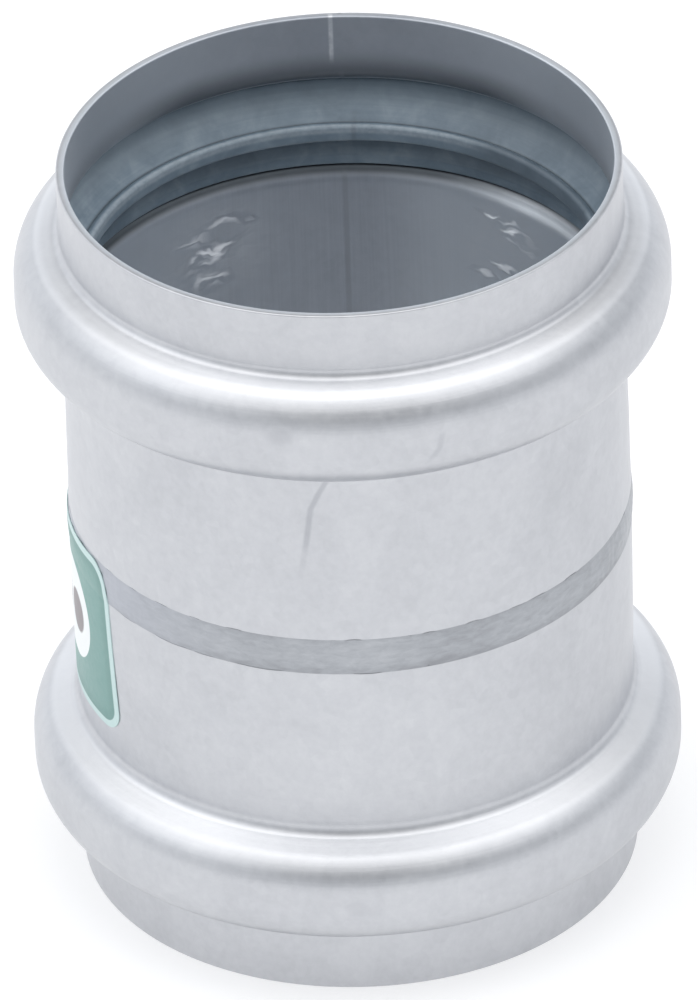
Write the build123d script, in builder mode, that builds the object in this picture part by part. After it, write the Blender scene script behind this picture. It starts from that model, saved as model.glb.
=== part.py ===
"""Slip coupling: a short double-ended push-fit coupling for thin-walled steel drainage pipe.

Two formed steel tube halves, each with a straight mouth collar and a rolled seal bead, meet at
mid length in a butt weld. A lip seal sits in the groove of each bead, and a film label is stuck on
the left of the tube.

Frame: +Z along the coupling, origin on the axis at the lower rim, millimetres. The front is -Y.
Heights named *_h are measured from the middle plane towards the nearer mouth, so that both halves
share one section.
"""
import os
from math import cos, radians, sin, tan

from build123d import *

# ---- driving dimensions (mm) -------------------------------------------------------------------
LENGTH = 152.0          # rim to rim
WALL = 1.6              # sheet thickness
COLLAR_R = 53.3         # outside radius of the straight mouth collar
TUBE_MID_R = 53.5       # outside radius of the tube at the weld
TUBE_END_R = 53.1       # outside radius of the tube where the bead starts
BEAD_R = 62.1           # outside radius of the bead's crest

# section corners before rounding, heights from the middle plane
STRAIGHT_H = 4.2        # straight land either side of the weld
BEAD_FOOT_H = 40.3      # tube meets the bead's inner shoulder
BEAD_CREST_IN_H = 44.3  # inner shoulder meets the crest
BEAD_CREST_OUT_H = 59.7  # crest meets the outer shoulder
COLLAR_FOOT_H = 62.9    # outer shoulder meets the mouth collar
RIM_H = LENGTH / 2

# rounding of those corners, on the outside face
FOOT_FILLET = 2.5
CREST_IN_FILLET = 8.0
CREST_OUT_FILLET = 9.0
COLLAR_FILLET = 1.8
RIM_ROUND = 0.35        # both edges of the rim

# butt weld
ROOT_HALF = 0.8         # half the gap that the weld root fills
CAP_HALF = 3.85         # half the width of the weld cap
CAP_RISE = 0.28         # how proud the cap stands
ROOT_RISE = 0.15        # how proud the root stands inside

# lip seal, radii from the axis and heights from the middle plane
GROOVE_R = BEAD_R - WALL
LIP_R = 48.4            # inner edge of the lip
LIP_ROUND = 0.9         # radius of the lip's rolled top and bottom edges
LIP_H = 52.6            # height of the rolled top edge's middle
LIP_LOW_H = 50.5        # height of the bottom edge's middle; the inner face is flat between

# label
LABEL_T = 0.15          # film thickness
LABEL_W = 55.0          # width, measured straight across
LABEL_TALL = 36.9
LABEL_CORNER = 5.0
LABEL_CENTRE_H = -16.7  # centre height, from the middle plane
LABEL_TILT = 4.0        # degrees, as it was stuck on

MID = LENGTH / 2

# section planes: local x is the radius, local y the height from the middle plane
TO_UPPER = Plane(origin=(0, 0, MID), x_dir=(1, 0, 0), z_dir=(0, -1, 0))
TO_LOWER = Plane(origin=(0, 0, MID), x_dir=(1, 0, 0), z_dir=(0, 1, 0))

os.makedirs("parts", exist_ok=True)


def near(shape_list, x, y):
    """The vertex of a section that lies nearest to a given radius and height."""
    return shape_list.sort_by(lambda v: (v.X - x) ** 2 + (v.Y - y) ** 2)[0]


# ---- section of one half: a sheet of constant thickness ------------------------------------------
# The tube tapers by a hair from the weld to the bead, on one large arc that starts upright.
TAPER = TUBE_MID_R - TUBE_END_R
TAPER_RUN = BEAD_FOOT_H - STRAIGHT_H
TAPER_ARC_R = (TAPER ** 2 + TAPER_RUN ** 2) / (2 * TAPER)
TAPER_MID = (
    TUBE_MID_R - (TAPER_ARC_R - (TAPER_ARC_R ** 2 - (TAPER_RUN / 2) ** 2) ** 0.5),
    STRAIGHT_H + TAPER_RUN / 2,
)

with BuildSketch() as socket_section:
    with BuildLine() as outside_line:
        Line((TUBE_MID_R, ROOT_HALF), (TUBE_MID_R, STRAIGHT_H))
        ThreePointArc((TUBE_MID_R, STRAIGHT_H), TAPER_MID, (TUBE_END_R, BEAD_FOOT_H))
        Line((TUBE_END_R, BEAD_FOOT_H), (BEAD_R, BEAD_CREST_IN_H))
        Line((BEAD_R, BEAD_CREST_IN_H), (BEAD_R, BEAD_CREST_OUT_H))
        Line((BEAD_R, BEAD_CREST_OUT_H), (COLLAR_R, COLLAR_FOOT_H))
        Line((COLLAR_R, COLLAR_FOOT_H), (COLLAR_R, RIM_H))
        fillet(near(outside_line.vertices(), TUBE_END_R, BEAD_FOOT_H), FOOT_FILLET)
        fillet(near(outside_line.vertices(), BEAD_R, BEAD_CREST_IN_H), CREST_IN_FILLET)
        fillet(near(outside_line.vertices(), BEAD_R, BEAD_CREST_OUT_H), CREST_OUT_FILLET)
        fillet(near(outside_line.vertices(), COLLAR_R, COLLAR_FOOT_H), COLLAR_FILLET)
        offset(amount=WALL, side=Side.LEFT, closed=True)
    make_face()
    fillet(near(socket_section.vertices(), COLLAR_R, RIM_H), RIM_ROUND)
    fillet(near(socket_section.vertices(), COLLAR_R - WALL, RIM_H), RIM_ROUND)

with BuildPart() as upper_socket:
    with BuildSketch(TO_UPPER):
        add(socket_section.sketch)
    revolve(axis=Axis.Z)
upper_socket.part.label = "upper_socket"
export_step(upper_socket.part, "parts/upper_socket.step")

with BuildPart() as lower_socket:
    with BuildSketch(TO_LOWER):
        add(socket_section.sketch)
    revolve(axis=Axis.Z)
lower_socket.part.label = "lower_socket"
export_step(lower_socket.part, "parts/lower_socket.step")

# ---- butt weld: a root that fills the gap, and a low wide cap over the joint -----------------------
with BuildPart() as weld_band:
    with BuildSketch(TO_UPPER):
        with BuildLine():
            ThreePointArc(
                (TUBE_MID_R, -CAP_HALF), (TUBE_MID_R + CAP_RISE, 0), (TUBE_MID_R, CAP_HALF)
            )
            Line((TUBE_MID_R, CAP_HALF), (TUBE_MID_R, ROOT_HALF))
            Line((TUBE_MID_R, ROOT_HALF), (TUBE_MID_R - WALL, ROOT_HALF))
            ThreePointArc(
                (TUBE_MID_R - WALL, ROOT_HALF),
                (TUBE_MID_R - WALL - ROOT_RISE, 0),
                (TUBE_MID_R - WALL, -ROOT_HALF),
            )
            Line((TUBE_MID_R - WALL, -ROOT_HALF), (TUBE_MID_R, -ROOT_HALF))
            Line((TUBE_MID_R, -ROOT_HALF), (TUBE_MID_R, -CAP_HALF))
        make_face()
    revolve(axis=Axis.Z)
weld_band.part.label = "weld_band"
export_step(weld_band.part, "parts/weld_band.step")

# ---- lip seal: a heel that beds in the groove, a sloped lead-in face and a rolled lip --------------
LIP_MID_R = LIP_R + LIP_ROUND
LIP_TOP = (LIP_MID_R + LIP_ROUND * cos(radians(50)), LIP_H + LIP_ROUND * sin(radians(50)))
LIP_TOP_MID = (LIP_MID_R + LIP_ROUND * cos(radians(115)), LIP_H + LIP_ROUND * sin(radians(115)))
LIP_UNDER = (LIP_MID_R + LIP_ROUND * cos(radians(-50)), LIP_LOW_H + LIP_ROUND * sin(radians(-50)))
LIP_UNDER_MID = (LIP_MID_R + LIP_ROUND * cos(radians(-115)), LIP_LOW_H + LIP_ROUND * sin(radians(-115)))

with BuildSketch() as seal_section:
    with BuildLine():
        # bedded on the crest of the groove, with a rounded heel either side
        Line((GROOVE_R, 50.3), (GROOVE_R, 53.1))
        Line((GROOVE_R, 53.1), (59.3, 56.4))
        Line((59.3, 56.4), (57.3, 58.9))
        # sloped face towards the mouth, ending in a crease above the lip
        Line((57.3, 58.9), (50.35, 53.0))
        Line((50.35, 53.0), LIP_TOP)
        # rolled top edge, flat inner face, rolled bottom edge
        ThreePointArc(LIP_TOP, LIP_TOP_MID, (LIP_R, LIP_H))
        Line((LIP_R, LIP_H), (LIP_R, LIP_LOW_H))
        ThreePointArc((LIP_R, LIP_LOW_H), LIP_UNDER_MID, LIP_UNDER)
        # underside of the lip, then the skirt that covers the groove's floor down to the tube
        Line(LIP_UNDER, (54.7, 53.9))
        Line((54.7, 53.9), (54.4, 48.4))
        Line((54.4, 48.4), (52.2, 44.4))
        Line((52.2, 44.4), (52.2, 42.6))
        Line((52.2, 42.6), (52.75, 42.2))
        Line((52.75, 42.2), (54.0, 42.75))
        Line((54.0, 42.75), (57.0, 44.3))
        Line((57.0, 44.3), (59.3, 47.0))
        Line((59.3, 47.0), (GROOVE_R, 50.3))
    make_face()
    fillet(near(seal_section.vertices(), 59.3, 56.4), 2.0)
    fillet(near(seal_section.vertices(), 57.3, 58.9), 0.6)
    fillet(near(seal_section.vertices(), 54.7, 53.9), 1.4)
    fillet(near(seal_section.vertices(), 54.4, 48.4), 2.2)
    fillet(near(seal_section.vertices(), 52.2, 44.4), 0.8)
    fillet(near(seal_section.vertices(), 52.2, 42.6), 0.2)
    fillet(near(seal_section.vertices(), 52.75, 42.2), 0.2)
    fillet(near(seal_section.vertices(), 57.0, 44.3), 2.5)
    fillet(near(seal_section.vertices(), 59.3, 47.0), 2.5)

with BuildPart() as upper_seal:
    with BuildSketch(TO_UPPER):
        add(seal_section.sketch)
    revolve(axis=Axis.Z)
upper_seal.part.label = "upper_seal"
export_step(upper_seal.part, "parts/upper_seal.step")

with BuildPart() as lower_seal:
    with BuildSketch(TO_LOWER):
        add(seal_section.sketch)
    revolve(axis=Axis.Z)
lower_seal.part.label = "lower_seal"
export_step(lower_seal.part, "parts/lower_seal.step")

# ---- label: a thin film that follows the tube and runs over the weld cap ---------------------------
# The film is the skin of a slightly larger tube, cut to a rounded rectangle, less what it covers.
LABEL_LOW_H = 39.0
LABEL_LOW_R = TUBE_MID_R - (
    TAPER_ARC_R - (TAPER_ARC_R ** 2 - (LABEL_LOW_H - STRAIGHT_H) ** 2) ** 0.5
)
LABEL_MID_H = (STRAIGHT_H + LABEL_LOW_H) / 2
LABEL_MID_R = TUBE_MID_R - (
    TAPER_ARC_R - (TAPER_ARC_R ** 2 - (LABEL_MID_H - STRAIGHT_H) ** 2) ** 0.5
)
INSIDE_WALL_R = TUBE_END_R - WALL / 2
LABEL_SWEEP = 80.0      # degrees of the blank, before it is cut to size
LABEL_PLANE = Plane(
    origin=(0, 0, MID),
    x_dir=(-cos(radians(LABEL_SWEEP / 2)), -sin(radians(LABEL_SWEEP / 2)), 0),
    z_dir=(-sin(radians(LABEL_SWEEP / 2)), cos(radians(LABEL_SWEEP / 2)), 0),
)

with BuildPart() as label:
    with BuildSketch(LABEL_PLANE):
        with BuildLine():
            Line((INSIDE_WALL_R, 4.2), (TUBE_MID_R + LABEL_T, 4.2))
            ThreePointArc(
                (TUBE_MID_R + LABEL_T, 4.2),
                (TUBE_MID_R + CAP_RISE + LABEL_T, 0),
                (TUBE_MID_R + LABEL_T, -4.2),
            )
            ThreePointArc(
                (TUBE_MID_R + LABEL_T, -4.2),
                (LABEL_MID_R + LABEL_T, -LABEL_MID_H),
                (LABEL_LOW_R + LABEL_T, -LABEL_LOW_H),
            )
            Line((LABEL_LOW_R + LABEL_T, -LABEL_LOW_H), (INSIDE_WALL_R, -LABEL_LOW_H))
            Line((INSIDE_WALL_R, -LABEL_LOW_H), (INSIDE_WALL_R, 4.2))
        make_face()
    revolve(axis=Axis.Z, revolution_arc=-LABEL_SWEEP)
    with BuildSketch(
        Plane(origin=(-60, 0, MID + LABEL_CENTRE_H), x_dir=(0, -1, 0), z_dir=(-1, 0, 0))
    ):
        RectangleRounded(LABEL_W, LABEL_TALL, LABEL_CORNER, rotation=LABEL_TILT)
    extrude(amount=-40, mode=Mode.INTERSECT)
    add(upper_socket.part, mode=Mode.SUBTRACT)
    add(lower_socket.part, mode=Mode.SUBTRACT)
    add(weld_band.part, mode=Mode.SUBTRACT)
label.part.label = "label"
export_step(label.part, "parts/label.step")
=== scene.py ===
"""Looks for the slip coupling: galvanised steel sockets, a streaky weld band, lip seals and a film label.

Everything is in metres in the part's own frame: +Z along the coupling, origin on the axis at the
lower rim, front at -Y. Heights called h are measured from the middle plane, in millimetres.
"""
import math

import bpy
import numpy as np
from mathutils import Matrix, Vector


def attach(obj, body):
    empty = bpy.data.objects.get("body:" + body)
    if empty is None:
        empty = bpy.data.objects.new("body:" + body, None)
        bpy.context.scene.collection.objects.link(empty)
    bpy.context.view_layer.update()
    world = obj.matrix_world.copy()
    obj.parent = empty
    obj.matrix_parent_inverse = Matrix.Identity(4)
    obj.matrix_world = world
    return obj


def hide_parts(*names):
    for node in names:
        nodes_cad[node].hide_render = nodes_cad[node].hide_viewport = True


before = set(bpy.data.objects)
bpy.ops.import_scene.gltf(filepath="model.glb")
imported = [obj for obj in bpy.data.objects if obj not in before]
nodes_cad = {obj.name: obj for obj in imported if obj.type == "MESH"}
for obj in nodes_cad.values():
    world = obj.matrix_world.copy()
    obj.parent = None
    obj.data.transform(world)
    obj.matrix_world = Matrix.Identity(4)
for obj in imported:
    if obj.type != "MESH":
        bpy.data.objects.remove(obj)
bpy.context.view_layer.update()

MM = 0.001
MID = 76.0
scene = bpy.context.scene

# ------------------------------------------------------------------ section, in mm (radius, h)
WALL = 1.6
RIM_H = 76.0
STRAIGHT_H, FOOT_H, CREST_IN_H, CREST_OUT_H, COLLAR_H = 4.2, 40.3, 44.3, 59.7, 62.9
TUBE_MID_R, TUBE_END_R, BEAD_R, COLLAR_R = 53.5, 53.1, 62.1, 53.3
ROOT_HALF, CAP_HALF, CAP_RISE, ROOT_RISE = 0.8, 3.85, 0.28, 0.15


def unit(v):
    return v / np.linalg.norm(v)


def rounded(points, radii, step_deg=5.0):
    """A polyline whose inner corners are rounded; radii has one entry for each inner corner."""
    out = [np.array(points[0], float)]
    for i in range(1, len(points) - 1):
        a, b, c = (np.array(p, float) for p in (points[i - 1], points[i], points[i + 1]))
        r = radii[i - 1]
        u, v = unit(a - b), unit(c - b)
        turn = math.pi - math.acos(float(np.clip(u @ v, -1, 1)))
        if r <= 0 or turn < 1e-4:
            out.append(b)
            continue
        t = r * math.tan(turn / 2)
        p1 = b + u * t
        centre = b + unit(u + v) * (r / math.cos(turn / 2))
        a1 = math.atan2(*(p1 - centre)[::-1])
        p2 = b + v * t
        a2 = math.atan2(*(p2 - centre)[::-1])
        da = (a2 - a1 + math.pi) % (2 * math.pi) - math.pi
        n = max(2, int(math.ceil(abs(math.degrees(da)) / step_deg)))
        for k in range(n + 1):
            th = a1 + da * k / n
            out.append(centre + r * np.array([math.cos(th), math.sin(th)]))
    out.append(np.array(points[-1], float))
    return out


def spread(path, longest):
    """Adds points so that no stretch is longer than longest."""
    out = [path[0]]
    for a, b in zip(path, path[1:]):
        d = float(np.linalg.norm(b - a))
        n = max(1, int(math.ceil(d / longest)))
        for k in range(1, n + 1):
            out.append(a + (b - a) * k / n)
    return out


def taper(h):
    """Outside radius of the tube between the weld and the bead."""
    run = FOOT_H - STRAIGHT_H
    drop = TUBE_MID_R - TUBE_END_R
    big = (drop * drop + run * run) / (2 * drop)
    x = min(max(abs(h) - STRAIGHT_H, 0.0), run)
    return TUBE_MID_R - (big - math.sqrt(big * big - x * x))


def tube_line(offset, foot_h):
    n = 30
    hs = [STRAIGHT_H + (foot_h - STRAIGHT_H) * k / n for k in range(n + 1)]
    return [np.array([taper(h) - offset, h]) for h in hs]


def socket_path():
    """Closed section of one half, anticlockwise in (radius, h)."""
    t1 = math.atan2(BEAD_R - TUBE_END_R, CREST_IN_H - FOOT_H)
    t2 = math.atan2(BEAD_R - COLLAR_R, COLLAR_H - CREST_OUT_H)
    k1, k2 = WALL * math.tan(t1 / 2), WALL * math.tan(t2 / 2)
    outer = rounded(
        [
            (taper(36.0), 36.0), (TUBE_END_R, FOOT_H), (BEAD_R, CREST_IN_H), (BEAD_R, CREST_OUT_H),
            (COLLAR_R, COLLAR_H), (COLLAR_R, RIM_H), (COLLAR_R - WALL, RIM_H), (COLLAR_R - WALL, 70.0),
        ],
        [2.5, 8.0, 9.0, 1.8, 0.35, 0.35],
        4.0,
    )
    inner = rounded(
        [
            (COLLAR_R - WALL, 70.0), (COLLAR_R - WALL, COLLAR_H - k2), (BEAD_R - WALL, CREST_OUT_H - k2),
            (BEAD_R - WALL, CREST_IN_H + k1), (TUBE_END_R - WALL, FOOT_H + k1), (taper(36.0) - WALL, 36.0),
        ],
        [1.8 + WALL, 9.0 - WALL, 8.0 - WALL, 2.5 + WALL],
        4.0,
    )
    up = [np.array([TUBE_MID_R, ROOT_HALF])] + tube_line(0.0, 36.0)
    down = tube_line(WALL, 36.0)[::-1] + [np.array([TUBE_MID_R - WALL, ROOT_HALF])]
    return up + outer[1:] + inner[1:] + down[1:]


def seal_path():
    """Closed section of a seal: heel, sloped face, crease, rolled lip with a flat inner face, underside."""
    lip_r, high, low = 0.9, np.array([49.3, 52.6]), np.array([49.3, 50.5])

    def lip(centre, deg):
        return centre + lip_r * np.array([math.cos(math.radians(deg)), math.sin(math.radians(deg))])

    body = rounded(
        [
            lip(low, -50), (54.7, 53.9), (54.4, 48.4), (52.2, 44.4), (52.2, 42.6), (52.75, 42.2), (54.0, 42.75),
            (57.0, 44.3), (59.3, 47.0), (60.5, 50.3), (60.5, 53.1), (59.3, 56.4), (57.3, 58.9), (50.35, 53.0), lip(high, 50),
        ],
        [1.4, 2.2, 0.8, 0.3, 0.3, 1.0, 2.5, 2.5, 0.3, 0.3, 2.0, 0.6, 0.12],
        6.0,
    )
    roll = [lip(high, d) for d in np.linspace(50, 180, 16)] + [np.array([48.4, 51.9]), np.array([48.4, 51.2])]
    return body + roll[1:] + [lip(low, d) for d in np.linspace(180, 310, 16)][:-1]


# ------------------------------------------------------------------ meshes
def smooth_waves(seed, count, m_max, k_max):
    """A smooth function of (angle, h) that closes round the circle, from seeded waves."""
    rng = np.random.default_rng(seed)
    m = rng.integers(1, m_max + 1, count)
    k = rng.uniform(-k_max, k_max, count)
    ph = rng.uniform(0, 2 * math.pi, count)
    am = rng.normal(0, 1, count) / np.sqrt(count)

    def f(theta, h):
        total = np.zeros(np.broadcast(theta, h).shape)
        for a, mm, kk, pp in zip(am, m, k, ph):
            total += a * np.cos(mm * theta + kk * h + pp)
        return total

    return f


def lathe(name, path, segments, flip=False, move=None, squeeze=None, sharp=()):
    """A closed ring mesh from a closed section.

    move(theta, r, h, nr, nh) gives an offset along the normal, in mm; sharp lists the section points
    whose rings are hard edges.
    """
    p = np.array(path, float)
    n = len(p)
    nxt, prv = np.roll(p, -1, 0), np.roll(p, 1, 0)
    tan = nxt - prv
    normal = np.stack([tan[:, 1], -tan[:, 0]], 1)
    normal /= np.maximum(np.linalg.norm(normal, axis=1, keepdims=True), 1e-9)
    theta = np.linspace(0, 2 * math.pi, segments, endpoint=False)[:, None]
    r = np.broadcast_to(p[None, :, 0], (segments, n)).copy()
    h = np.broadcast_to(p[None, :, 1], (segments, n)).copy()
    if move is not None:
        d = move(theta, p[None, :, 0], p[None, :, 1], normal[None, :, 0], normal[None, :, 1])
        r += d * normal[None, :, 0]
        h += d * normal[None, :, 1]
    if squeeze is not None:
        cap = np.broadcast_to(p[None, :, 0] > TUBE_MID_R + 1e-6, h.shape)
        h = np.where(cap, h * squeeze(theta, p[None, :, 1]), h)
    z = MID - h if flip else MID + h
    xyz = np.stack([r * np.cos(theta), r * np.sin(theta), z], -1).reshape(-1, 3) * MM
    i = np.arange(segments)[:, None]
    j = np.arange(n)[None, :]
    i2, j2 = (i + 1) % segments, (j + 1) % n
    quads = np.stack([i * n + j, i2 * n + j, i2 * n + j2, i * n + j2], -1).reshape(-1, 4)
    if flip:
        quads = quads[:, ::-1]
    mesh = bpy.data.meshes.new(name)
    mesh.from_pydata(xyz.tolist(), [], quads.tolist())
    mesh.update()
    mesh.polygons.foreach_set("use_smooth", [True] * len(mesh.polygons))
    if sharp:
        ends = np.zeros(len(mesh.edges) * 2, int)
        mesh.edges.foreach_get("vertices", ends)
        ends = ends.reshape(-1, 2) % n
        hard = (ends[:, 0] == ends[:, 1]) & np.isin(ends[:, 0], [k % n for k in sharp])
        mesh.attributes.new("sharp_edge", "BOOLEAN", "EDGE").data.foreach_set("value", hard)
    obj = bpy.data.objects.new(name, mesh)
    scene.collection.objects.link(obj)
    return obj


# ------------------------------------------------------------------ node helpers
class Nodes:
    """Short way to write a material's nodes."""

    def __init__(self, name):
        self.mat = bpy.data.materials.new(name)
        self.mat.use_nodes = True
        self.t = self.mat.node_tree
        self.t.nodes.clear()
        self.out = self.t.nodes.new("ShaderNodeOutputMaterial")

    def node(self, kind, **inputs):
        n = self.t.nodes.new(kind)
        for key, value in inputs.items():
            if key.startswith("_"):
                setattr(n, key[1:], value)
        return n

    def put(self, socket, value):
        if isinstance(value, bpy.types.NodeSocket):
            self.t.links.new(value, socket)
        else:
            socket.default_value = value

    def coord(self):
        return self.t.nodes.new("ShaderNodeTexCoord").outputs["Object"]

    def mapping(self, vector, scale, location=(0, 0, 0)):
        n = self.t.nodes.new("ShaderNodeMapping")
        self.put(n.inputs["Vector"], vector)
        n.inputs["Scale"].default_value = scale
        n.inputs["Location"].default_value = location
        return n.outputs["Vector"]

    def noise(self, vector, scale=1.0, detail=2.0, rough=0.5, distortion=0.0):
        n = self.t.nodes.new("ShaderNodeTexNoise")
        n.noise_dimensions = "3D"
        self.put(n.inputs["Vector"], vector)
        n.inputs["Scale"].default_value = scale
        n.inputs["Detail"].default_value = detail
        n.inputs["Roughness"].default_value = rough
        n.inputs["Distortion"].default_value = distortion
        return n.outputs["Fac"]

    def voronoi(self, vector, scale=1.0, feature="F1", rand=1.0):
        n = self.t.nodes.new("ShaderNodeTexVoronoi")
        n.feature = feature
        self.put(n.inputs["Vector"], vector)
        n.inputs["Scale"].default_value = scale
        n.inputs["Randomness"].default_value = rand
        return n

    def math(self, op, a, b=None, c=None, clamp=False):
        n = self.t.nodes.new("ShaderNodeMath")
        n.operation = op
        n.use_clamp = clamp
        for k, v in enumerate((a, b, c)):
            if v is not None:
                self.put(n.inputs[k], v)
        return n.outputs[0]

    def range(self, value, lo, hi, to_lo, to_hi, smooth=False):
        n = self.t.nodes.new("ShaderNodeMapRange")
        n.interpolation_type = "SMOOTHSTEP" if smooth else "LINEAR"
        n.clamp = True
        self.put(n.inputs["Value"], value)
        n.inputs["From Min"].default_value = lo
        n.inputs["From Max"].default_value = hi
        n.inputs["To Min"].default_value = to_lo
        n.inputs["To Max"].default_value = to_hi
        return n.outputs["Result"]

    def ramp(self, value, stops):
        n = self.t.nodes.new("ShaderNodeValToRGB")
        self.put(n.inputs["Fac"], value)
        e = n.color_ramp.elements
        while len(e) < len(stops):
            e.new(0.5)
        for el, (pos, col) in zip(e, stops):
            el.position = pos
            el.color = (*col, 1.0) if len(col) == 3 else col
        return n.outputs["Color"]

    def mix(self, fac, a, b, kind="MIX"):
        n = self.t.nodes.new("ShaderNodeMix")
        n.data_type = "RGBA"
        n.blend_type = kind
        n.clamp_factor = True
        self.put(n.inputs[0], fac)
        self.put(n.inputs[6], a if isinstance(a, bpy.types.NodeSocket) else (*a, 1.0))
        self.put(n.inputs[7], b if isinstance(b, bpy.types.NodeSocket) else (*b, 1.0))
        return n.outputs[2]

    def split(self, vector):
        n = self.t.nodes.new("ShaderNodeSeparateXYZ")
        self.put(n.inputs[0], vector)
        return n.outputs

    def join(self, x, y, z):
        n = self.t.nodes.new("ShaderNodeCombineXYZ")
        for k, v in enumerate((x, y, z)):
            self.put(n.inputs[k], v)
        return n.outputs[0]

    def bump(self, height, strength, distance, normal=None):
        n = self.t.nodes.new("ShaderNodeBump")
        n.inputs["Strength"].default_value = strength
        n.inputs["Distance"].default_value = distance
        self.put(n.inputs["Height"], height)
        if normal is not None:
            self.put(n.inputs["Normal"], normal)
        return n.outputs["Normal"]

    def tilted(self, amount):
        """The surface's own normal, leaned upwards by amount."""
        geometry = self.t.nodes.new("ShaderNodeNewGeometry")
        add = self.t.nodes.new("ShaderNodeVectorMath")
        add.operation = "ADD"
        unit_n = self.t.nodes.new("ShaderNodeVectorMath")
        unit_n.operation = "NORMALIZE"
        self.put(add.inputs[0], geometry.outputs["Normal"])
        self.put(add.inputs[1], self.join(0.0, 0.0, amount))
        self.put(unit_n.inputs[0], add.outputs[0])
        return unit_n.outputs[0]

    def principled(self, **values):
        n = self.t.nodes.new("ShaderNodeBsdfPrincipled")
        for key, value in values.items():
            self.put(n.inputs[key.replace("_", " ")], value)
        self.t.links.new(n.outputs[0], self.out.inputs["Surface"])
        return n


def surface_frame(m, co):
    """Radius in m, angle from the front in degrees (to the right positive), and height h in mm from the middle plane."""
    x, y, z = m.split(co)
    radius = m.math("SQRT", m.math("ADD", m.math("MULTIPLY", x, x), m.math("MULTIPLY", y, y)))
    angle = m.math("MULTIPLY", m.math("ARCTAN2", x, m.math("MULTIPLY", y, -1.0)), 57.29578)
    height = m.math("SUBTRACT", m.math("MULTIPLY", z, 1000.0), MID)
    return radius, angle, height


def trail(m, angle, height, points, width, soft):
    """A line drawn over the surface: points are (h, angle, strength), the line keeps to angle(h)."""
    points = sorted(points)
    h0, h1 = points[0][0], points[-1][0]
    a0 = min(p[1] for p in points) - 1.0
    a1 = max(p[1] for p in points) + 1.0
    t = m.range(height, h0, h1, 0.0, 1.0)
    place = m.ramp(t, [((p[0] - h0) / (h1 - h0), ((p[1] - a0) / (a1 - a0),) * 3) for p in points])
    power = m.ramp(t, [((p[0] - h0) / (h1 - h0), (p[2],) * 3) for p in points])
    line = m.math("ADD", m.math("MULTIPLY", place, a1 - a0), a0)
    off = m.math("ABSOLUTE", m.math("SUBTRACT", angle, line))
    mask = m.range(off, width, width + soft, 1.0, 0.0, True)
    ends = m.math("MULTIPLY", m.range(height, h0 - 0.8, h0 + 0.4, 0.0, 1.0, True), m.range(height, h1 - 0.4, h1 + 0.8, 1.0, 0.0, True))
    return m.math("MULTIPLY", m.math("MULTIPLY", mask, power), ends)


def blot(m, angle, height, a, h, wide, tall, lean=0.0):
    """A soft spot: wide in degrees, tall in mm, lean in mm of height for each degree."""
    da = m.math("SUBTRACT", angle, a)
    dh = m.math("SUBTRACT", m.math("SUBTRACT", height, h), m.math("MULTIPLY", da, lean))
    qa, qh = m.math("MULTIPLY", da, 1.0 / wide), m.math("MULTIPLY", dh, 1.0 / tall)
    d = m.math("ADD", m.math("MULTIPLY", qa, qa), m.math("MULTIPLY", qh, qh))
    return m.range(d, 0.0, 1.0, 1.0, 0.0, True)


def assign(obj, mat):
    obj.data.materials.clear()
    obj.data.materials.append(mat)


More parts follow.
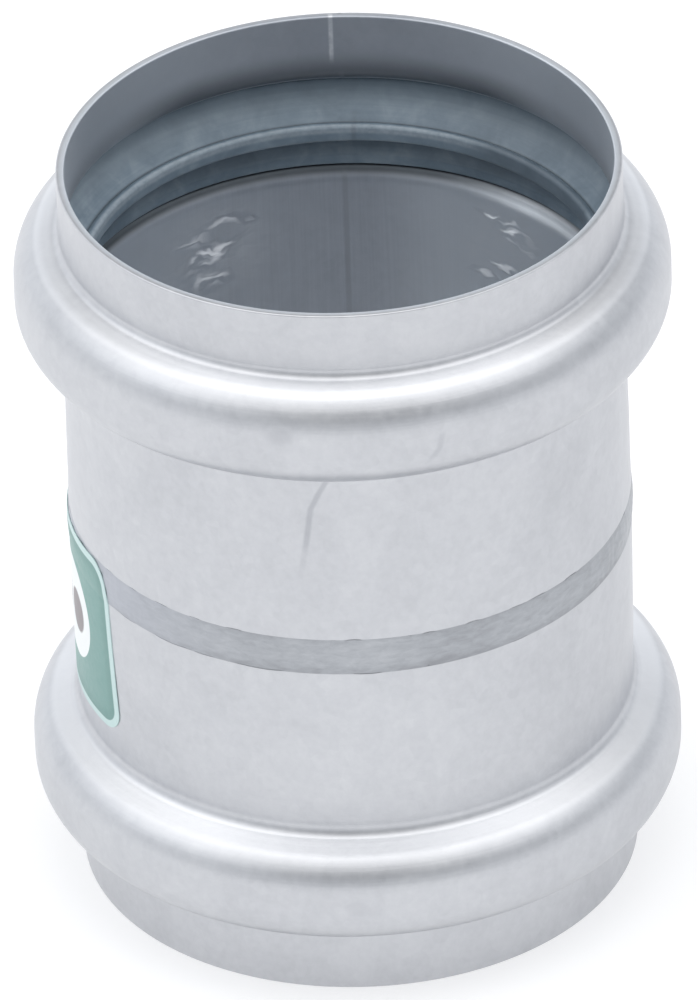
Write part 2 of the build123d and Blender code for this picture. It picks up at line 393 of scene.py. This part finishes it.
# ------------------------------------------------------------------ materials
def galvanised():
    """Matte zinc-coated sheet: pale blue-grey, faint clouds, fine grain, a rolled seam at the back and a few marks."""
    m = Nodes("galvanised_steel")
    co = m.coord()
    radius, angle, height = surface_frame(m, co)
    inside = m.range(radius, 0.0530, 0.0522, 0.0, 1.0)  # 1 on the inner faces of the tube and collars
    outside = m.math("SUBTRACT", 1.0, inside)
    back = m.math("SUBTRACT", 180.0, m.math("ABSOLUTE", angle))  # degrees from the back, either way
    front_only = m.range(m.math("ABSOLUTE", angle), 60.0, 70.0, 1.0, 0.0)

    # clouds of slightly different grey, from large to small, and fine forming lines round the tube
    clouds = m.noise(co, 30.0, 5.0, 0.55, 0.4)
    patches = m.noise(m.mapping(co, (90.0, 90.0, 60.0), (3.0, 1.0, 7.0)), 1.0, 4.0, 0.6, 0.6)
    fine = m.noise(co, 620.0, 3.0, 0.6)
    crystal = m.split(m.voronoi(co, 420.0, "F1").outputs["Color"])[0]
    lines = m.noise(m.mapping(co, (12.0, 12.0, 1300.0)), 1.0, 3.0, 0.6)
    draw = m.noise(m.join(m.math("MULTIPLY", angle, 1.6), m.math("MULTIPLY", radius, 40.0), m.math("MULTIPLY", height, 0.03)), 1.0, 3.0, 0.65)

    tone = m.math("ADD", m.range(clouds, 0.3, 0.7, -0.55, 0.55), m.range(patches, 0.3, 0.7, -0.45, 0.45))
    tone = m.math("ADD", tone, m.range(fine, 0.3, 0.7, -0.5, 0.5))
    tone = m.math("ADD", tone, m.range(crystal, 0.0, 1.0, -0.24, 0.24))
    in_tube = m.math("MULTIPLY", inside, m.range(m.math("ABSOLUTE", height), 40.0, 43.0, 1.0, 0.0))
    tone = m.math("ADD", tone, m.math("MULTIPLY", m.math("MULTIPLY", m.range(draw, 0.3, 0.7, -1.0, 1.0), in_tube), 0.7))
    # painted shade: darker round the right side, from the front to about 110 degrees
    tone = m.math("SUBTRACT", tone, m.math("MULTIPLY", m.range(angle, 5.0, 65.0, 0.0, 0.9, True), m.range(angle, 100.0, 120.0, 1.0, 0.0)))
    fac = m.range(tone, -1.8, 1.6, 0.0, 1.0)
    colour = m.ramp(fac, [(0.0, (0.49, 0.50, 0.525)), (0.5, (0.56, 0.57, 0.595)), (1.0, (0.625, 0.635, 0.655))])
    inner = m.ramp(fac, [(0.0, (0.43, 0.46, 0.505)), (0.5, (0.49, 0.52, 0.57)), (1.0, (0.545, 0.575, 0.625))])
    is_collar = m.range(m.math("ABSOLUTE", height), 62.0, 64.0, 0.0, 1.0)
    in_collar = m.math("MULTIPLY", inside, is_collar)
    # painted light: paler towards the sides, and more so low in the tube on the right
    right_tube_light = m.math("MULTIPLY", in_tube, m.math("MULTIPLY", m.range(angle, 176.0, 156.0, 0.0, 0.42, True), m.range(angle, 0.0, 1.0, 0.0, 1.0)))
    side_light = m.math("ADD", m.range(back, 5.0, 58.0, 0.0, 0.72, True), right_tube_light, clamp=True)
    inner = m.mix(side_light, inner, (0.80, 0.84, 0.885))
    inner = m.mix(m.math("MULTIPLY", in_collar, 0.12), inner, (0.2, 0.21, 0.23))
    colour = m.mix(inside, colour, inner)

    # painted highlight: paler on the beads' upward flanks
    lift_h = m.math("ABSOLUTE", height)
    flank_highlight = m.math("MULTIPLY", m.range(lift_h, 40.4, 41.2, 0.0, 1.0, True), m.range(lift_h, 42.2, 43.4, 1.0, 0.0, True))
    upper_flank_highlight = m.math("MULTIPLY", m.range(lift_h, 60.5, 61.2, 0.0, 1.0, True), m.range(lift_h, 61.9, 62.6, 1.0, 0.0, True))
    flank_highlight = m.math("MULTIPLY", m.math("MAXIMUM", flank_highlight, m.math("MULTIPLY", upper_flank_highlight, 0.75)), outside)
    colour = m.mix(m.math("MULTIPLY", flank_highlight, 0.55), colour, (0.84, 0.85, 0.875))

    # marks on the front, from handling
    scratch = trail(m, angle, height, [(39.4, -4.7, 0.9), (36.5, -6.4, 1.0), (33.0, -8.1, 1.0), (25.5, -9.2, 1.0), (23.0, -9.6, 0.45), (17.5, -10.6, 0.15)], 0.22, 0.75)
    rub = trail(m, angle, height, [(53.4, 16.4, 0.5), (50.5, 15.9, 0.7), (47.4, 13.8, 0.25)], 0.15, 0.8)
    spots = m.math("MAXIMUM", m.math("MULTIPLY", blot(m, angle, height, -11.9, 54.6, 3.0, 2.4), 0.55), m.math("MULTIPLY", blot(m, angle, height, -1.1, -51.8, 2.6, 2.2), 0.35))
    spots = m.math("MAXIMUM", spots, m.math("MULTIPLY", blot(m, angle, height, -23.5, 10.7, 2.2, 1.7), 0.2))
    marks = m.math("MULTIPLY", m.math("MAXIMUM", m.math("MAXIMUM", scratch, rub), spots), m.math("MULTIPLY", outside, front_only))
    colour = m.mix(m.math("MULTIPLY", marks, 0.5), colour, (0.34, 0.35, 0.38))

    # painted shade where the seal's skirt meets the tube, left off on one side where the tube's edge catches the light,
    # and painted shade above the seal in the collar
    low = m.math("ABSOLUTE", height)
    mm_in = m.math("SUBTRACT", m.math("MULTIPLY", radius, 1000.0), m.math("MULTIPLY", m.math("SUBTRACT", low, 39.0), 0.4))
    foot_in = m.range(mm_in, 52.9, 52.5, 0.0, 1.0)
    skirt_shade = m.math("MULTIPLY", m.range(low, 39.9, 41.3, 0.0, 1.0, True), m.range(low, 46.0, 48.0, 1.0, 0.0))
    skirt_lit_side = m.math("MULTIPLY", m.range(angle, 100.0, 120.0, 0.0, 1.0, True), m.range(angle, 134.0, 160.0, 1.0, 0.0, True))
    skirt_shade = m.math("MULTIPLY", m.math("MULTIPLY", skirt_shade, foot_in), m.math("SUBTRACT", 1.0, m.math("MULTIPLY", m.math("MULTIPLY", skirt_lit_side, m.range(low, 40.9, 41.9, 1.0, 0.0, True)), 0.85)))
    colour = m.mix(skirt_shade, colour, (0.115, 0.13, 0.145))
    # painted shade down the collar's inner face towards the seal, weaker away from the back
    film = m.math("MULTIPLY", m.range(low, 62.3, 69.0, 1.0, 0.0, True), m.math("MULTIPLY", inside, m.range(low, 61.0, 62.0, 0.0, 1.0)))
    film = m.math("MULTIPLY", film, m.math("SUBTRACT", 0.95, m.math("MULTIPLY", m.range(back, 30.0, 55.0, 0.0, 1.0, True), 0.6)))
    colour = m.mix(film, colour, (0.16, 0.175, 0.195))

    # the strip's own long seam: a dark line down the tube, bright where the collar was opened out
    seam_width = m.range(m.math("ABSOLUTE", m.math("SUBTRACT", back, 1.2)), 0.25, 0.85, 1.0, 0.0, True)
    seam_tube = m.math("MULTIPLY", m.math("MULTIPLY", seam_width, m.range(angle, 0.0, 1.0, 0.0, 1.0)), m.math("SUBTRACT", 1.0, in_collar))
    seam_in = m.math("MULTIPLY", seam_tube, m.range(draw, 0.3, 0.6, 0.5, 1.0))
    colour = m.mix(m.math("MULTIPLY", m.math("MULTIPLY", seam_in, m.math("SUBTRACT", 1.0, skirt_shade)), 0.42), colour, (0.33, 0.34, 0.37))
    bright = m.range(m.math("ABSOLUTE", m.math("ADD", angle, 179.2)), 0.2, 0.7, 1.0, 0.0, True)
    bright = m.math("MULTIPLY", m.math("MULTIPLY", m.math("MULTIPLY", bright, inside), m.range(low, 65.2, 68.5, 0.0, 1.0, True)), m.range(fine, 0.35, 0.6, 0.55, 1.0))
    colour = m.mix(m.math("MULTIPLY", bright, 0.8), colour, (0.93, 0.94, 0.96))

    # painted highlights inside the tube, either side: patches whose normals lean up to catch the light, painted pale,
    # with a pale painted haze round them
    wander = m.noise(m.join(m.math("MULTIPLY", angle, 0.16), 0.0, m.math("MULTIPLY", height, 0.25)), 1.0, 2.0, 0.5)
    wavy_h = m.math("ADD", height, m.range(wander, 0.3, 0.7, -1.3, 1.3))
    streaks = m.noise(m.join(m.math("MULTIPLY", angle, 0.2), 0.0, m.math("MULTIPLY", wavy_h, 0.8)), 1.0, 1.6, 0.45, 0.15)
    painted_haze = m.math("MULTIPLY", m.math("MAXIMUM", blot(m, angle, height, 141.5, 29.0, 15.0, 12.0), blot(m, angle, height, -151.0, 28.0, 17.0, 13.0)), in_tube)
    painted_haze = m.math("MULTIPLY", painted_haze, m.range(streaks, 0.3, 0.65, 0.3, 1.0))
    strokes = None
    for sa, sh, wide, tall, lean, power in (
        (144.0, 35.6, 8.0, 1.1, 0.12, 0.95), (139.0, 33.2, 8.0, 1.1, 0.12, 1.0), (138.0, 30.6, 6.5, 1.0, 0.12, 0.95),
        (149.0, 21.6, 5.5, 1.1, 0.1, 0.8), (143.5, 24.4, 6.0, 1.1, 0.1, 0.85),
        (-150.6, 27.4, 9.5, 3.4, -0.37, 1.0), (-150.5, 21.8, 7.0, 3.4, 0.15, 0.95), (-155.0, 33.6, 9.0, 2.0, 0.0, 0.8),
        (-146.0, 31.0, 7.0, 2.2, -0.1, 0.8),
    ):
        part = m.math("MULTIPLY", blot(m, angle, wavy_h, sa, sh, wide, tall, lean), power)
        strokes = part if strokes is None else m.math("MAXIMUM", strokes, part)
    highlight_patches = m.math("MULTIPLY", strokes, in_tube)
    painted_highlight = m.math("MULTIPLY", highlight_patches, m.range(streaks, 0.3, 0.62, 0.2, 1.0, True))
    # the tube's edge leans up and catches the light too on that side, where the painted shade is left off
    edge_lit = m.math("MULTIPLY", m.math("MULTIPLY", m.range(low, 36.5, 39.6, 0.0, 1.0, True), m.range(low, 39.6, 41.0, 1.0, 0.0, True)), m.math("MULTIPLY", skirt_lit_side, inside))
    lean_up = m.math("ADD", m.math("MULTIPLY", painted_highlight, 0.77), m.math("MULTIPLY", edge_lit, 0.42))
    # painted highlight and painted haze: pale colour on the patches
    colour = m.mix(m.math("MAXIMUM", m.math("MULTIPLY", painted_highlight, 0.6), m.math("MULTIPLY", painted_haze, 0.45)), colour, (0.80, 0.82, 0.85))

    rough = m.math("ADD", m.range(clouds, 0.3, 0.7, 0.35, 0.41), m.range(fine, 0.3, 0.7, -0.02, 0.03))
    rough = m.math("ADD", rough, m.math("MULTIPLY", inside, 0.14))
    rough = m.math("SUBTRACT", rough, m.math("MULTIPLY", painted_highlight, 0.06))
    n1 = m.bump(m.math("ADD", lines, m.math("MULTIPLY", fine, 0.75)), 0.08, 0.0004, m.tilted(lean_up))
    n1 = m.bump(m.math("SUBTRACT", m.math("MULTIPLY", seam_tube, 0.5), marks), 0.5, 0.0002, n1)
    m.principled(Base_Color=colour, Metallic=1.0, Roughness=rough, Normal=n1)
    return m.mat


def weld():
    """Weld zone: duller and darker than the sheet, faintly streaked, darker along its edges."""
    m = Nodes("weld_steel")
    co = m.coord()
    radius, angle, height = surface_frame(m, co)
    broad = m.noise(m.mapping(co, (45.0, 45.0, 45.0), (2.0, 5.0, 1.0)), 1.0, 3.0, 0.55)
    streak = m.noise(m.join(m.math("MULTIPLY", angle, 0.28), 0.0, m.math("MULTIPLY", height, 0.9)), 1.0, 4.0, 0.6, 0.6)
    spots = m.noise(co, 380.0, 3.0, 0.6)
    tone = m.math("ADD", m.range(streak, 0.3, 0.7, -0.7, 0.7), m.range(spots, 0.3, 0.7, -0.35, 0.35))
    tone = m.math("ADD", tone, m.range(broad, 0.3, 0.7, -0.7, 0.7))
    # painted light: paler towards the left
    left_light = m.range(angle, -62.0, -20.0, 0.55, 0.0, True)
    edge = m.math("ADD", m.range(height, -1.8, -3.6, 0.0, 1.5, True), m.range(height, 2.6, 3.7, 0.0, 0.8, True))
    tone = m.math("SUBTRACT", tone, m.math("MULTIPLY", edge, 0.55))
    colour = m.ramp(m.range(tone, -1.5, 1.5, 0.0, 1.0), [(0.0, (0.31, 0.32, 0.34)), (0.5, (0.395, 0.41, 0.435)), (1.0, (0.485, 0.50, 0.525))])
    colour = m.mix(left_light, colour, (0.52, 0.54, 0.595))
    rough = m.range(spots, 0.3, 0.7, 0.4, 0.5)
    n1 = m.bump(streak, 0.22, 0.0004)
    n1 = m.bump(spots, 0.15, 0.0003, n1)
    m.principled(Base_Color=colour, Metallic=1.0, Roughness=rough, Normal=n1)
    return m.mat


def rubber():
    """Blue-grey rubber with a dusty bloom, moulding lines on the sloped face and one joint mark."""
    m = Nodes("seal_rubber")
    co = m.coord()
    radius, angle, height = surface_frame(m, co)
    bloom = m.noise(co, 60.0, 5.0, 0.65, 0.8)
    cloud = m.noise(co, 170.0, 4.0, 0.6, 0.5)
    fine = m.noise(co, 900.0, 2.0, 0.5)
    rings = m.noise(m.join(m.math("MULTIPLY", radius, 1500.0), m.math("MULTIPLY", angle, 0.02), 0.0), 1.0, 2.0, 0.5)
    tone = m.math("ADD", m.range(bloom, 0.3, 0.7, -0.6, 0.6), m.range(cloud, 0.3, 0.7, -0.8, 0.8))
    tone = m.math("ADD", tone, m.range(rings, 0.3, 0.7, -0.3, 0.3))
    colour = m.ramp(m.range(tone, -1.2, 1.2, 0.0, 1.0), [(0.0, (0.13, 0.18, 0.225)), (0.5, (0.185, 0.245, 0.30)), (1.0, (0.265, 0.33, 0.385))])
    # painted highlight along the rolled lip and its top edge, weaker on the right where the lip is in shade; painted
    # shade on the lip's inner face there and in the crease between
    roll = m.math("MULTIPLY", m.math("MULTIPLY", m.range(radius, 0.0494, 0.0488, 0.0, 1.0, True), m.range(m.math("ABSOLUTE", height), 51.4, 52.2, 0.0, 1.0, True)), m.range(fine, 0.35, 0.65, 0.6, 1.0))
    shaded_side = m.math("MULTIPLY", m.range(angle, 100.0, 112.0, 0.0, 1.0, True), m.range(angle, 140.0, 152.0, 1.0, 0.0, True))
    colour = m.mix(m.math("MULTIPLY", roll, m.math("SUBTRACT", 0.5, m.math("MULTIPLY", shaded_side, 0.5))), colour, (0.50, 0.56, 0.61))
    lip_shade = m.math("MULTIPLY", shaded_side, m.range(radius, 0.0500, 0.0492, 0.0, 1.0, True))
    colour = m.mix(m.math("MULTIPLY", lip_shade, 0.5), colour, (0.08, 0.10, 0.12))
    # painted shade in the crease
    crease = m.math("MULTIPLY", m.range(m.math("ABSOLUTE", m.math("SUBTRACT", radius, 0.0503)), 0.0001, 0.0004, 1.0, 0.0, True), m.range(m.math("ABSOLUTE", height), 52.2, 52.6, 0.0, 1.0))
    colour = m.mix(m.math("MULTIPLY", crease, 0.6), colour, (0.05, 0.065, 0.08))
    # painted light: paler up the sloped face, where little light reaches, less so on the right
    face = m.math("MULTIPLY", m.range(radius, 0.0518, 0.0568, 0.0, 1.0), m.range(m.math("ABSOLUTE", height), 53.5, 54.5, 0.0, 1.0))
    face = m.math("MULTIPLY", face, m.range(radius, 0.0562, 0.0571, 1.0, 0.35, True))
    colour = m.mix(m.math("MULTIPLY", face, m.math("SUBTRACT", 0.5, m.math("MULTIPLY", m.range(angle, 100.0, 150.0, 1.0, 0.0, True), m.range(angle, 80.0, 90.0, 0.0, 0.25)))), colour, (0.42, 0.50, 0.565))
    joint = m.range(m.math("ABSOLUTE", m.math("SUBTRACT", angle, 176.4)), 0.2, 1.0, 1.0, 0.0, True)
    joint = m.math("MULTIPLY", joint, m.math("MULTIPLY", m.range(cloud, 0.4, 0.6, 0.4, 1.0), m.range(radius, 0.0526, 0.0518, 0.0, 1.0, True)))
    colour = m.mix(m.math("MULTIPLY", joint, 0.3), colour, (0.08, 0.10, 0.12))
    # painted shade under the lip
    under = m.math("MULTIPLY", m.range(radius, 0.0505, 0.0515, 0.0, 1.0), m.range(m.math("ABSOLUTE", height), 52.5, 53.5, 1.0, 0.0))
    colour = m.mix(m.math("MULTIPLY", under, 0.08), colour, (0.09, 0.115, 0.135))
    shade = m.math("MULTIPLY", m.range(angle, 90.0, 105.0, 0.0, 0.3, True), m.range(angle, 140.0, 168.0, 1.0, 0.0, True))
    colour = m.mix(shade, colour, (0.09, 0.12, 0.15))
    rough = m.range(bloom, 0.3, 0.7, 0.38, 0.5)
    n1 = m.bump(fine, 0.12, 0.0002)
    n1 = m.bump(m.math("ADD", rings, m.math("MULTIPLY", joint, -1.0)), 0.2, 0.0002, n1)
    m.principled(Base_Color=colour, Roughness=rough, Normal=n1, Specular_IOR_Level=0.5)
    return m.mat


def label_film():
    """Green film with a pale border and a plain pale window; the shapes are drawn in the label's own plane."""
    m = Nodes("label_film")
    co = m.coord()
    x, y, z = m.split(co)
    # flat coordinates on the label, in mm: u to the right seen from outside, v up
    az = m.math("ARCTAN2", m.math("MULTIPLY", y, -1.0), m.math("MULTIPLY", x, -1.0))
    u0 = m.math("MULTIPLY", m.math("SINE", az), 53.3)
    v0 = m.math("SUBTRACT", m.math("MULTIPLY", z, 1000.0), MID - 16.7)
    c, s = math.cos(math.radians(-4.0)), math.sin(math.radians(-4.0))
    u = m.math("SUBTRACT", m.math("MULTIPLY", u0, c), m.math("MULTIPLY", v0, s))
    v = m.math("ADD", m.math("MULTIPLY", u0, s), m.math("MULTIPLY", v0, c))

    def box_distance(cu, cv, half_u, half_v, round_r):
        qu = m.math("SUBTRACT", m.math("ABSOLUTE", m.math("SUBTRACT", u, cu)), half_u - round_r)
        qv = m.math("SUBTRACT", m.math("ABSOLUTE", m.math("SUBTRACT", v, cv)), half_v - round_r)
        du, dv = m.math("MAXIMUM", qu, 0.0), m.math("MAXIMUM", qv, 0.0)
        away = m.math("SQRT", m.math("ADD", m.math("MULTIPLY", du, du), m.math("MULTIPLY", dv, dv)))
        inside = m.math("MINIMUM", m.math("MAXIMUM", qu, qv), 0.0)
        return m.math("SUBTRACT", m.math("ADD", away, inside), round_r)

    def field(distance, soft=0.08):
        return m.range(distance, -soft, soft, 1.0, 0.0)

    grain = m.noise(co, 700.0, 2.0, 0.5)
    green = m.mix(m.noise(co, 90.0, 3.0, 0.5), (0.15, 0.305, 0.28), (0.185, 0.345, 0.32))
    green = m.mix(m.range(box_distance(0, 0, 27.5, 18.45, 5.0), -4.2, -1.9, 0.0, 0.35, True), green, (0.10, 0.22, 0.20))
    pale = m.mix(grain, (0.49, 0.65, 0.635), (0.56, 0.71, 0.70))
    white = m.mix(grain, (0.80, 0.83, 0.84), (0.86, 0.88, 0.88))
    grey = m.mix(grain, (0.20, 0.175, 0.185), (0.27, 0.24, 0.25))
    colour = m.mix(field(box_distance(0, 0, 27.5 - 1.35, 18.45 - 1.35, 3.8)), pale, green)
    colour = m.mix(field(box_distance(0, 0.2, 18.6, 10.4, 10.3)), colour, white)
    # three plain discs in the window
    for cu in (-10.8, 0.0, 10.8):
        colour = m.mix(field(box_distance(cu, 0.2, 4.4, 4.4, 4.35), 0.25), colour, grey)
    rough = m.range(grain, 0.3, 0.7, 0.36, 0.44)
    m.principled(Base_Color=colour, Roughness=rough, Normal=m.bump(grain, 0.06, 0.0002))
    return m.mat


STEEL, WELD, RUBBER, FILM = galvanised(), weld(), rubber(), label_film()

# ------------------------------------------------------------------ pieces
SEG = 376


def socket_move(seed, flip):
    wave = smooth_waves(seed, 26, 9, 0.16)
    small = smooth_waves(seed + 7, 40, 26, 0.5)

    def move(theta, r, h, nr, nh):
        calm = np.clip((RIM_H - h) / 3.0, 0, 1) * np.clip((h - 4.2) / 4.0, 0, 1)
        d = 0.035 * wave(theta, h) + 0.012 * small(theta, h)
        return np.minimum(d - 0.06, -0.025) * calm * np.where(nr > 0, 1.0, -1.0)

    return move


for name, flip, seed in (("upper_socket", False, 11), ("lower_socket", True, 23)):
    shell = lathe(name + "_shell", socket_path(), SEG, flip, socket_move(seed, flip), sharp=(0, -1))
    assign(shell, STEEL)
    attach(shell, "root")
    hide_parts(name)


def weld_path():
    cap = []
    chord, rise = CAP_HALF, CAP_RISE
    big = (chord * chord + rise * rise) / (2 * rise)
    for k in range(33):
        h = -chord + 2 * chord * k / 32
        cap.append(np.array([TUBE_MID_R + rise - big + math.sqrt(big * big - h * h), h]))
    under = [np.array([TUBE_MID_R, ROOT_HALF]), np.array([TUBE_MID_R - WALL, ROOT_HALF])]
    root = []
    chord, rise = ROOT_HALF, ROOT_RISE
    big = (chord * chord + rise * rise) / (2 * rise)
    for k in range(1, 8):
        h = chord - 2 * chord * k / 8
        root.append(np.array([TUBE_MID_R - WALL - rise + big - math.sqrt(big * big - h * h), h]))
    back = [np.array([TUBE_MID_R - WALL, -ROOT_HALF]), np.array([TUBE_MID_R, -ROOT_HALF])]
    return cap + under + root + back


weld_wave = smooth_waves(41, 40, 60, 1.6)
weld_ripple = smooth_waves(42, 60, 220, 1.2)


def weld_move(theta, r, h, nr, nh):
    out = (nr > 0.5) & (r > TUBE_MID_R + 0.02)
    d = 0.045 * weld_wave(theta, h) + 0.03 * weld_ripple(theta, h)
    return np.clip(d - 0.05, -0.16, 0.0) * out * np.clip((r - TUBE_MID_R) / 0.12, 0, 1)


edge_low, edge_high = smooth_waves(43, 30, 44, 0.0), smooth_waves(44, 30, 44, 0.0)


def weld_shift(theta, h):
    """The cap's two edges wander a little, each in its own way."""
    low = 0.985 + 0.14 * np.tanh(edge_low(theta, h * 0))
    high = 0.985 + 0.14 * np.tanh(edge_high(theta, h * 0))
    return np.where(h < 0, low, high)


band = lathe("weld_band_bead", weld_path(), 1440, False, weld_move, weld_shift, (0, 32, 33, 34, -1, -2))
assign(band, WELD)
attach(band, "root")
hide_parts("weld_band")

seal_wave = smooth_waves(61, 20, 7, 0.2)


def seal_move(theta, r, h, nr, nh):
    lip = np.clip((51.5 - r) / 2.5, 0, 1)
    return lip * (0.05 * seal_wave(theta, h) - 0.05)


for name, flip in (("upper_seal", False), ("lower_seal", True)):
    ring = lathe(name + "_ring", seal_path(), 360, flip, seal_move)
    assign(ring, RUBBER)
    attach(ring, "root")
    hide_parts(name)

assign(nodes_cad["label"], FILM)

# ------------------------------------------------------------------ floor
floor_mat = Nodes("floor")
tone = floor_mat.noise(floor_mat.coord(), 3.0, 2.0, 0.5)
floor_mat.principled(Base_Color=floor_mat.ramp(tone, [(0.3, (0.52, 0.524, 0.535)), (0.7, (0.535, 0.539, 0.55))]), Roughness=0.9, Emission_Color=(1.0, 1.0, 1.0, 1.0), Emission_Strength=0.52)
plane = bpy.data.meshes.new("floor")
S = 12.0
plane.from_pydata([(-S, -S, 0), (S, -S, 0), (S, S, 0), (-S, S, 0)], [], [(0, 1, 2, 3)])
floor = bpy.data.objects.new("floor", plane)
scene.collection.objects.link(floor)
assign(floor, floor_mat.mat)

# ------------------------------------------------------------------ light
# A soft tent: each side of the dome has its own brightness from the horizon (0) to straight up (1).
HEIGHTS = (0.0, 0.2, 0.4, 0.58, 0.74, 0.87, 0.95, 1.0)
DOME = {
    "front": (0.86, 0.75, 0.52, 0.35, 0.8, 1.35, 1.8, 2.13),
    "left": (1.02, 0.92, 1.07, 1.62, 2.0, 1.98, 1.8, 2.13),
    "back": (1.45, 1.35, 1.05, 0.5, 0.1, 0.4, 1.8, 2.13),
    "right": (1.02, 0.78, 0.71, 1.12, 1.75, 2.03, 1.8, 2.13),
}
world = bpy.data.worlds.new("studio")
scene.world = world
world.use_nodes = True
wt = world.node_tree
wt.nodes.clear()


def wmath(op, a, b):
    n = wt.nodes.new("ShaderNodeMath")
    n.operation = op
    for k, v in enumerate((a, b)):
        if isinstance(v, bpy.types.NodeSocket):
            wt.links.new(v, n.inputs[k])
        else:
            n.inputs[k].default_value = v
    return n.outputs[0]


w_out = wt.nodes.new("ShaderNodeOutputWorld")
w_bg = wt.nodes.new("ShaderNodeBackground")
w_sp = wt.nodes.new("ShaderNodeSeparateXYZ")
wt.links.new(wt.nodes.new("ShaderNodeTexCoord").outputs["Generated"], w_sp.inputs[0])
wt.links.new(w_bg.outputs[0], w_out.inputs["Surface"])
wx, wy, wz = w_sp.outputs
xx, yy = wmath("MULTIPLY", wx, wx), wmath("MULTIPLY", wy, wy)
flat = wmath("MAXIMUM", wmath("ADD", xx, yy), 1e-6)
share_x, share_y = wmath("DIVIDE", xx, flat), wmath("DIVIDE", yy, flat)
side = {
    "front": wmath("MULTIPLY", share_y, wmath("LESS_THAN", wy, 0.0)),
    "back": wmath("MULTIPLY", share_y, wmath("GREATER_THAN", wy, 0.0)),
    "left": wmath("MULTIPLY", share_x, wmath("LESS_THAN", wx, 0.0)),
    "right": wmath("MULTIPLY", share_x, wmath("GREATER_THAN", wx, 0.0)),
}
total = None
for name, values in DOME.items():
    ramp = wt.nodes.new("ShaderNodeValToRGB")
    wt.links.new(wz, ramp.inputs["Fac"])
    els = ramp.color_ramp.elements
    while len(els) < len(HEIGHTS):
        els.new(0.5)
    for el, pos, v in zip(els, HEIGHTS, values):
        el.position = pos
        el.color = (v / 4, v / 4, v / 4, 1.0)
    part = wmath("MULTIPLY", wmath("MULTIPLY", ramp.outputs["Color"], side[name]), 4.0)
    total = part if total is None else wmath("ADD", total, part)
wt.links.new(total, w_bg.inputs["Strength"])
tint = wt.nodes.new("ShaderNodeValToRGB")  # a touch cooler near the horizon
wt.links.new(wz, tint.inputs["Fac"])
tint.color_ramp.elements[0].position, tint.color_ramp.elements[0].color = 0.5, (0.94, 0.965, 1.0, 1.0)
tint.color_ramp.elements[1].position, tint.color_ramp.elements[1].color = 0.8, (1.0, 1.0, 1.0, 1.0)
wt.links.new(tint.outputs["Color"], w_bg.inputs["Color"])

# ------------------------------------------------------------------ camera
# A long lens from well back, 33.6 degrees above the floor, with the slight lean of the photograph.
UNIT = 54.631 * MM
ELEV, ROLL = math.radians(33.573), math.radians(-1.9355)
DIST = 60.0 * UNIT
FOCAL_PX = 287.303 * 60.0
OFF_X, OFF_Y = 350.155 - 349.0, 496.548 - 500.0
PX_PER_M = 287.303 / UNIT

forward = Vector((0, math.cos(ELEV), -math.sin(ELEV)))
right = Vector((1, 0, 0))
up = right.cross(forward)
r3 = right * math.cos(ROLL) + up * math.sin(ROLL)
u3 = -right * math.sin(ROLL) + up * math.cos(ROLL)
target = Vector((0, 0, MID * MM + 0.0121 * UNIT)) - r3 * (OFF_X / PX_PER_M) + u3 * (OFF_Y / PX_PER_M)
cam_data = bpy.data.cameras.new("camera")
cam_data.sensor_width = 36.0
cam_data.lens = FOCAL_PX / 1000.0 * 36.0
cam_data.clip_start, cam_data.clip_end = 0.1, 60.0
cam = bpy.data.objects.new("camera", cam_data)
rot = Matrix((r3, u3, -forward)).transposed()
cam.matrix_world = Matrix.Translation(target - forward * DIST) @ rot.to_4x4()
scene.collection.objects.link(cam)
scene.camera = cam

scene.view_settings.view_transform = "Standard"
scene.view_settings.look = "None"
scene.view_settings.exposure = 0.0
scene.view_settings.gamma = 1.0
